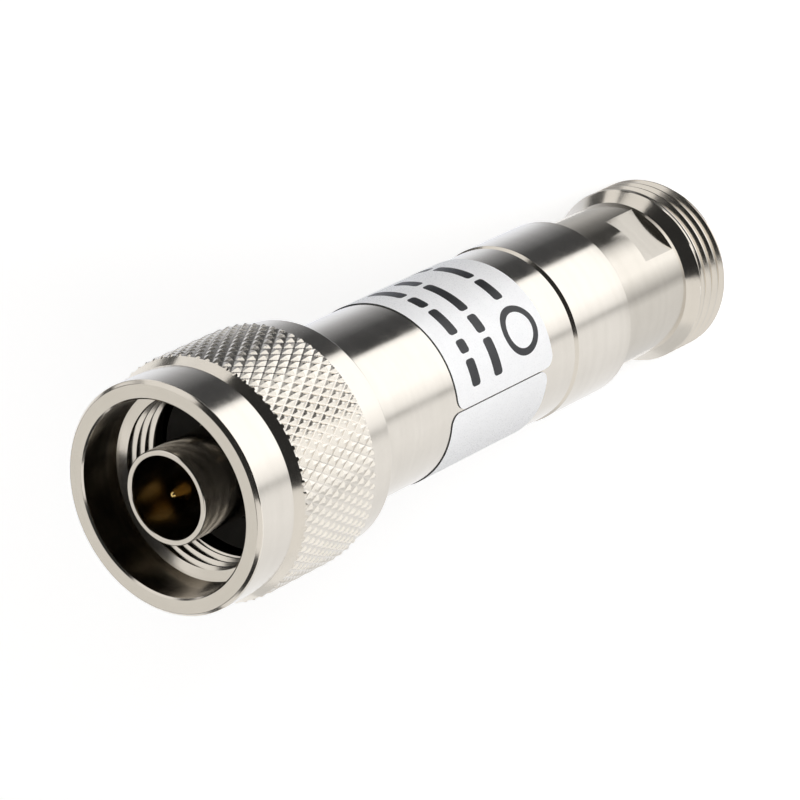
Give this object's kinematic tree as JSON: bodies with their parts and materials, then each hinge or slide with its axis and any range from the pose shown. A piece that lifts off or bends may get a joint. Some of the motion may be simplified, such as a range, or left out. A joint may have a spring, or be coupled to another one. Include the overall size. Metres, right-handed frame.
{
  "type": "coaxial fixed attenuator",
  "caption": "In-line coaxial attenuator: a type N plug with a knurled coupling nut, a plain round housing with a label, and a type N socket with wrench flats.",
  "frame": {"origin": "centre of the socket's end face, on which the part stands", "axes": "+Z along the axis from the socket to the plug; the wrench flats face +Y and -Y"},
  "size_m": [0.0208, 0.0208, 0.07],
  "materials": {
    "nickel_plate": "satin nickel-type plating on brass",
    "gold_plate": "gold plating on copper alloy",
    "spring_bronze": "plain",
    "gasket_rubber": "matt",
    "insulator": "turned plastic",
    "label_film": "satin film",
    "alumina": "matt",
    "resistor": "matt",
    "silver_print": "printed silver"
  },
  "bodies": {
    "body": {"retaining_ring": "spring_bronze", "gasket": "gasket_rubber", "plug_shell": "nickel_plate", "plug_pin": "gold_plate", "plug_bead": "insulator", "plug_bush": "nickel_plate", "housing": "nickel_plate", "label": "label_film", "carrier_a": "nickel_plate", "carrier_b": "nickel_plate", "attenuator_card": "alumina", "resistor_film": "resistor", "card_electrodes": "silver_print", "socket_shell": "nickel_plate", "socket_contact": "gold_plate", "socket_bead": "insulator", "socket_bush": "nickel_plate"},
    "nut": {"coupling_nut": "nickel_plate"}
  },
  "joints": [
    {"name": "nut_spin", "type": "hinge", "parent": "body", "child": "nut", "pos_m": [0, 0, 0.0555], "axis": [0, 0, 1], "continuous": true}
  ]
}
